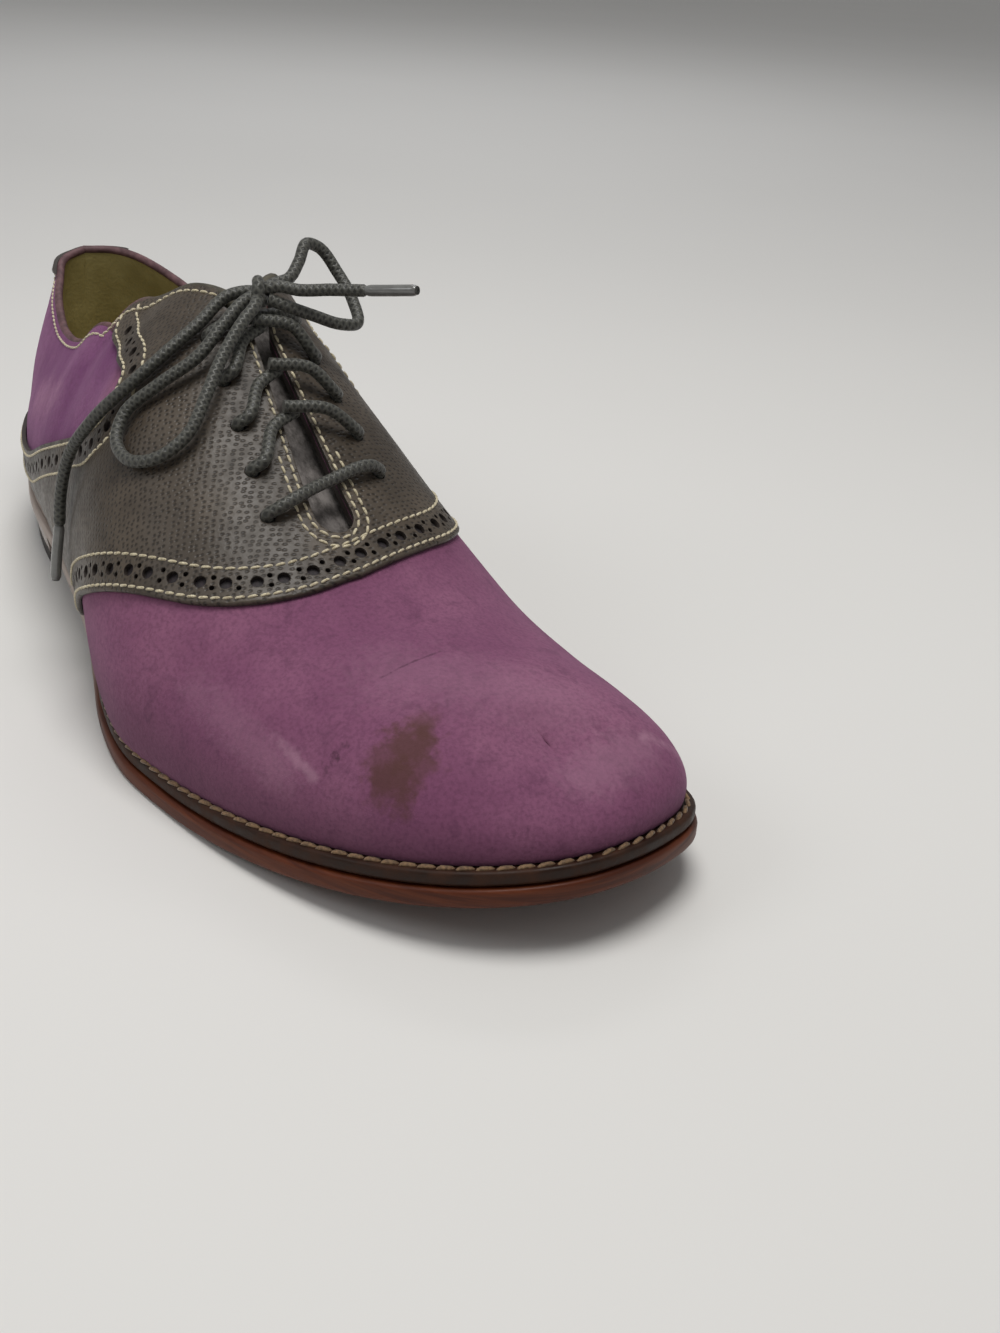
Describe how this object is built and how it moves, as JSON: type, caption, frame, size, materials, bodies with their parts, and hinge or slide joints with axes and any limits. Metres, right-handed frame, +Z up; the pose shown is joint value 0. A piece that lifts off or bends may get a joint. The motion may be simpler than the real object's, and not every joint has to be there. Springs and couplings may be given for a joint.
{
  "type": "saddle shoe",
  "caption": "Low lace-up saddle shoe: nubuck upper on a welted leather sole, contrast leather saddle over the instep, tied with a round waxed lace in a bow.",
  "frame": {"origin": "on the floor, under the middle of the shoe's box without its free laces", "axes": "+X towards the toe, +Y towards the inner (medial) side of this right shoe, +Z up"},
  "size_m": [0.305, 0.1072, 0.1106],
  "materials": {
    "nubuck": "purple nubuck, napped and matt",
    "saddle_leather": "grey-brown embossed calf, satin",
    "tongue_leather": "grey brushed leather, matt",
    "welt_leather": "dark brown waxed leather, satin",
    "sole_leather": "reddish brown dressed sole edge",
    "heel_leather": "polished stacked leather",
    "heel_rubber": "dark matt rubber",
    "sock_leather": "olive lining leather, matt",
    "lace": "round waxed cord, dark grey",
    "aglet": "clear sleeve over the cord"
  },
  "bodies": {
    "root": {"outsole": "sole_leather", "welt": "welt_leather", "insole": "sock_leather", "heel_stack": "heel_leather", "heel_top_piece": "heel_rubber", "upper": "nubuck", "saddle": "saddle_leather", "backstay": "saddle_leather", "tongue": "tongue_leather", "lace_bar": "lace", "lace_cross_1": "lace", "lace_cross_2": "lace", "lace_cross_3": "lace", "lace_under_knot": "lace", "lace_knot": "lace", "lace_loop_lateral": "lace", "lace_loop_medial": "lace", "lace_end_lateral": "lace", "lace_end_medial": "lace", "aglet_lateral": "aglet", "aglet_medial": "aglet"}
  },
  "joints": []
}
